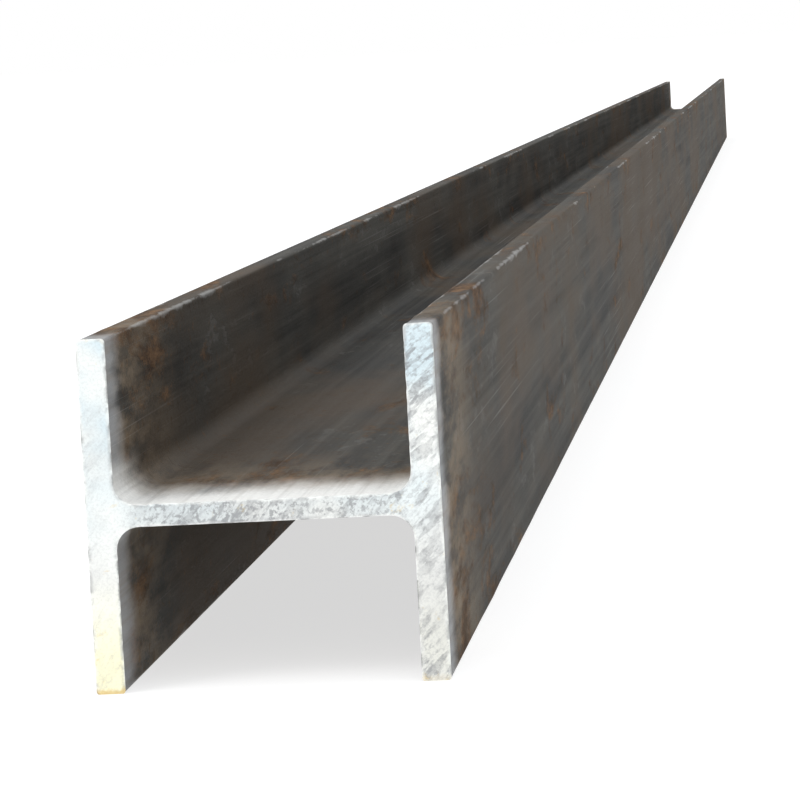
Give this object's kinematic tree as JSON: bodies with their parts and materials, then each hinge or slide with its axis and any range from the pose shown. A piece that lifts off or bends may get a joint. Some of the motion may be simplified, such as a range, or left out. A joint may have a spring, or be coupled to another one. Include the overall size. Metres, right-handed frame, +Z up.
{
  "type": "steel h-beam",
  "caption": "Hot-rolled wide-flange steel beam with filleted web and square sawn ends, lying on its flange toes, for columns, posts and frames.",
  "frame": {"origin": "middle of the length and of the section, on the floor that the flange toes rest on", "axes": "+Y along the beam, +X across the section from one flange to the other, +Z up along the flanges"},
  "size_m": [0.1, 6, 0.1],
  "materials": {
    "rolled_steel": "dark mill scale with light rust along the length, bright bare steel at the two sawn ends"
  },
  "bodies": {
    "root": {"h_beam": "rolled_steel"}
  },
  "joints": []
}
